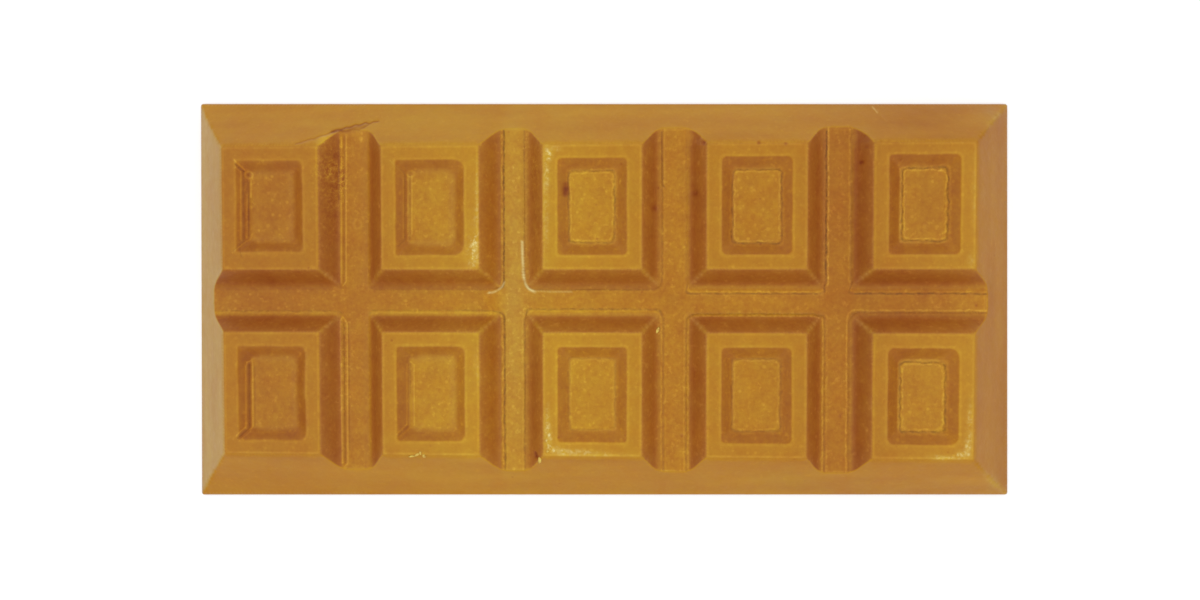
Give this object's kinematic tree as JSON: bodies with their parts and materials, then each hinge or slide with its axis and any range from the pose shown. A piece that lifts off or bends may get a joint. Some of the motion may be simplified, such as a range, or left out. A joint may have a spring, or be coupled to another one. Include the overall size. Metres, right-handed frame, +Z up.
{
  "type": "chocolate bar",
  "caption": "Moulded slab of blond chocolate with sloping sides: raised blocks with sunken panels, parted by grooves for snapping it into pieces.",
  "frame": {"origin": "middle of the flat back, at the level that the bar rests on", "axes": "+X along the bar's length, +Y across its width, +Z up, away from the flat back and towards the moulded side"},
  "size_m": [0.1528, 0.0734, 0.0096],
  "materials": {
    "chocolate": "smooth blond chocolate with a soft satin sheen, paler and slightly worn along the rims, with fine specks"
  },
  "bodies": {
    "root": {"chocolate_bar": "chocolate"}
  },
  "joints": []
}
